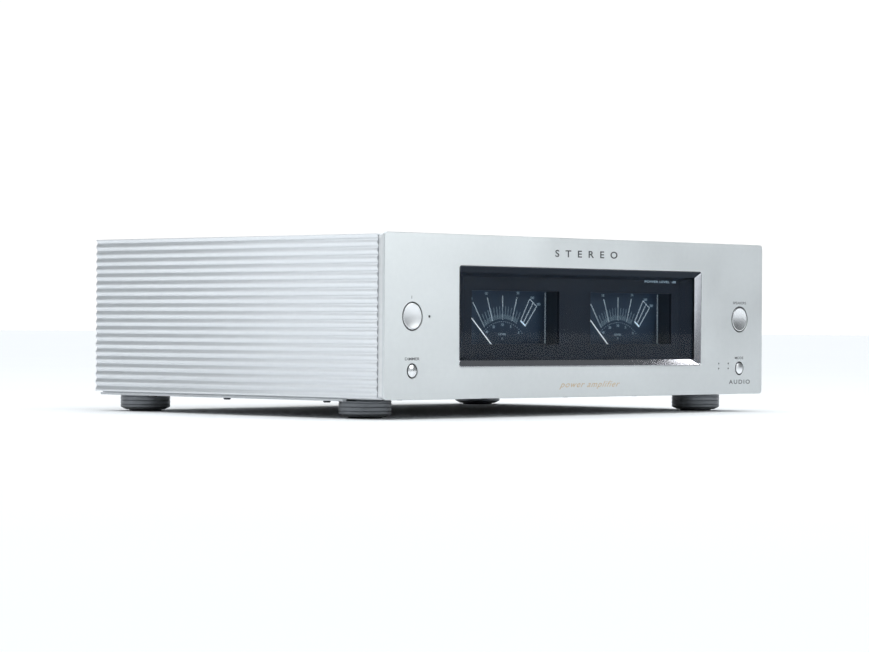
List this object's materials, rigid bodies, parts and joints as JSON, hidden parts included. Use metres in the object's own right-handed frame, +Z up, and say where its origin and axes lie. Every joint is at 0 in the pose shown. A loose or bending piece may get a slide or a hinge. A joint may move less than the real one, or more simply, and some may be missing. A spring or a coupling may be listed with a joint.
{
  "type": "power amplifier",
  "caption": "Full-width stereo power amplifier with a long window over needle meters, round push buttons, ribbed side panels, disc feet and rear speaker terminals.",
  "frame": {"origin": "bottom centre of the amplifier, on the surface that its rubber feet stand on", "axes": "+Z up, +X to the right of someone facing the front panel, +Y from the front panel to the rear"},
  "size_m": [0.435, 0.3354, 0.1344],
  "materials": {
    "panel_aluminium": "fine blasted satin",
    "frame_aluminium": "fine blasted satin",
    "side_aluminium": "satin anodised, extruded",
    "bezel_chrome": "polished",
    "window_glass": "clear, polished",
    "fascia_black": "fine matt",
    "case_black": "matt",
    "dial_black": "matt with white print",
    "needle_white": "satin white",
    "magnet_steel": "plain",
    "circuit_board": "lacquered board",
    "button_aluminium": "spun satin",
    "trim_black": "matt",
    "lens_smoke": "smoked clear",
    "cover_silver": "fine satin silver",
    "tray_steel": "satin silver grey",
    "rear_black": "satin black",
    "screw_dark": "blackened",
    "foot_rubber": "matt",
    "foot_graphite": "turned, dark anodised",
    "transformer_wrap": "polyester film over windings",
    "plated_steel": "zinc plated",
    "sink_black": "black anodised",
    "component_black": "moulded",
    "capacitor_sleeve": "shrink sleeve",
    "post_gold": "gold plated",
    "post_cap": "clear over metal",
    "socket_metal": "nickel plated"
  },
  "bodies": {
    "chassis": {"balanced_sockets": "socket_metal", "base_tray": "tray_steel", "button_rings": "trim_black", "chassis_screws": "screw_dark", "cover_screws": "screw_dark", "filter_capacitors": "capacitor_sleeve", "foot_pads": "foot_rubber", "foot_screws": "screw_dark", "front_frame": "frame_aluminium", "front_left_foot": "foot_graphite", "front_panel": "panel_aluminium", "front_right_foot": "foot_graphite", "front_switch_boards": "circuit_board", "indicator_lenses": "lens_smoke", "input_board": "circuit_board", "left_amplifier_board": "circuit_board", "left_heat_sink": "sink_black", "left_meter_case": "case_black", "left_meter_dial": "dial_black", "left_meter_magnet": "magnet_steel", "left_side_panel": "side_aluminium", "line_sockets": "post_gold", "meter_fascia": "fascia_black", "meter_lamp_board": "circuit_board", "output_transistors": "component_black", "power_inlet": "component_black", "power_supply_board": "circuit_board", "rear_left_foot": "foot_graphite", "rear_panel": "rear_black", "rear_right_foot": "foot_graphite", "right_amplifier_board": "circuit_board", "right_heat_sink": "sink_black", "right_meter_case": "case_black", "right_meter_dial": "dial_black", "right_meter_magnet": "magnet_steel", "right_side_panel": "side_aluminium", "selector_switch": "socket_metal", "speaker_posts": "post_gold", "top_cover": "cover_silver", "transformer": "transformer_wrap", "transformer_clamp": "plated_steel", "trigger_sockets": "component_black", "under_plate": "tray_steel", "window_bezel": "bezel_chrome", "window_glass": "window_glass"},
    "left_needle": {"left_meter_needle": "needle_white"},
    "right_needle": {"right_meter_needle": "needle_white"},
    "power_key": {"power_button": "button_aluminium"},
    "dimmer_key": {"dimmer_button": "button_aluminium"},
    "speaker_key": {"speaker_button": "button_aluminium"},
    "mode_key": {"mode_button": "button_aluminium"},
    "selector_slider": {"selector_knob": "component_black"},
    "post_clamp_1": {"speaker_clamp_1": "post_gold"},
    "post_cap_1": {"speaker_cap_1": "post_cap"},
    "post_clamp_2": {"speaker_clamp_2": "post_gold"},
    "post_cap_2": {"speaker_cap_2": "post_cap"},
    "post_clamp_3": {"speaker_clamp_3": "post_gold"},
    "post_cap_3": {"speaker_cap_3": "post_cap"},
    "post_clamp_4": {"speaker_clamp_4": "post_gold"},
    "post_cap_4": {"speaker_cap_4": "post_cap"}
  },
  "joints": [
    {"name": "left_needle_swing", "type": "hinge", "parent": "chassis", "child": "left_needle", "pos_m": [-0.0666, -0.145, 0.0404], "axis": [0, 1, 0], "range_deg": [0, 84], "stiffness_Nm_per_rad": 0.0001, "springref_deg": -28.65},
    {"name": "right_needle_swing", "type": "hinge", "parent": "chassis", "child": "right_needle", "pos_m": [0.0666, -0.145, 0.0404], "axis": [0, 1, 0], "range_deg": [0, 84], "stiffness_Nm_per_rad": 0.0001, "springref_deg": -28.65},
    {"name": "power_press", "type": "slide", "parent": "chassis", "child": "power_key", "axis": [0, 1, 0], "range_m": [0, 0.0015], "stiffness_N_per_m": 400, "springref_m": -0.001},
    {"name": "dimmer_press", "type": "slide", "parent": "chassis", "child": "dimmer_key", "axis": [0, 1, 0], "range_m": [0, 0.001], "stiffness_N_per_m": 200, "springref_m": -0.001},
    {"name": "speaker_press", "type": "slide", "parent": "chassis", "child": "speaker_key", "axis": [0, 1, 0], "range_m": [0, 0.0015], "stiffness_N_per_m": 400, "springref_m": -0.001},
    {"name": "mode_press", "type": "slide", "parent": "chassis", "child": "mode_key", "axis": [0, 1, 0], "range_m": [0, 0.001], "stiffness_N_per_m": 200, "springref_m": -0.001},
    {"name": "selector_slide", "type": "slide", "parent": "chassis", "child": "selector_slider", "axis": [1, 0, 0], "range_m": [0, 0.003]},
    {"name": "post_lift_1", "type": "slide", "parent": "chassis", "child": "post_clamp_1", "axis": [0, 1, 0], "range_m": [0, 0.004]},
    {"name": "post_turn_1", "type": "hinge", "parent": "post_clamp_1", "child": "post_cap_1", "pos_m": [0.132, 0.1494, 0.046], "axis": [0, 1, 0], "range_deg": [0, 1153]},
    {"name": "post_lift_2", "type": "slide", "parent": "chassis", "child": "post_clamp_2", "axis": [0, 1, 0], "range_m": [0, 0.004]},
    {"name": "post_turn_2", "type": "hinge", "parent": "post_clamp_2", "child": "post_cap_2", "pos_m": [0.097, 0.1494, 0.046], "axis": [0, 1, 0], "range_deg": [0, 1153]},
    {"name": "post_lift_3", "type": "slide", "parent": "chassis", "child": "post_clamp_3", "axis": [0, 1, 0], "range_m": [0, 0.004]},
    {"name": "post_turn_3", "type": "hinge", "parent": "post_clamp_3", "child": "post_cap_3", "pos_m": [0.042, 0.1494, 0.046], "axis": [0, 1, 0], "range_deg": [0, 1153]},
    {"name": "post_lift_4", "type": "slide", "parent": "chassis", "child": "post_clamp_4", "axis": [0, 1, 0], "range_m": [0, 0.004]},
    {"name": "post_turn_4", "type": "hinge", "parent": "post_clamp_4", "child": "post_cap_4", "pos_m": [0.007, 0.1494, 0.046], "axis": [0, 1, 0], "range_deg": [0, 1153]}
  ],
  "couplings": [
    {"joint": "post_turn_1", "follows": "post_lift_1", "rad_per_m": 5026.5},
    {"joint": "post_turn_2", "follows": "post_lift_2", "rad_per_m": 5026.5},
    {"joint": "post_turn_3", "follows": "post_lift_3", "rad_per_m": 5026.5},
    {"joint": "post_turn_4", "follows": "post_lift_4", "rad_per_m": 5026.5}
  ]
}
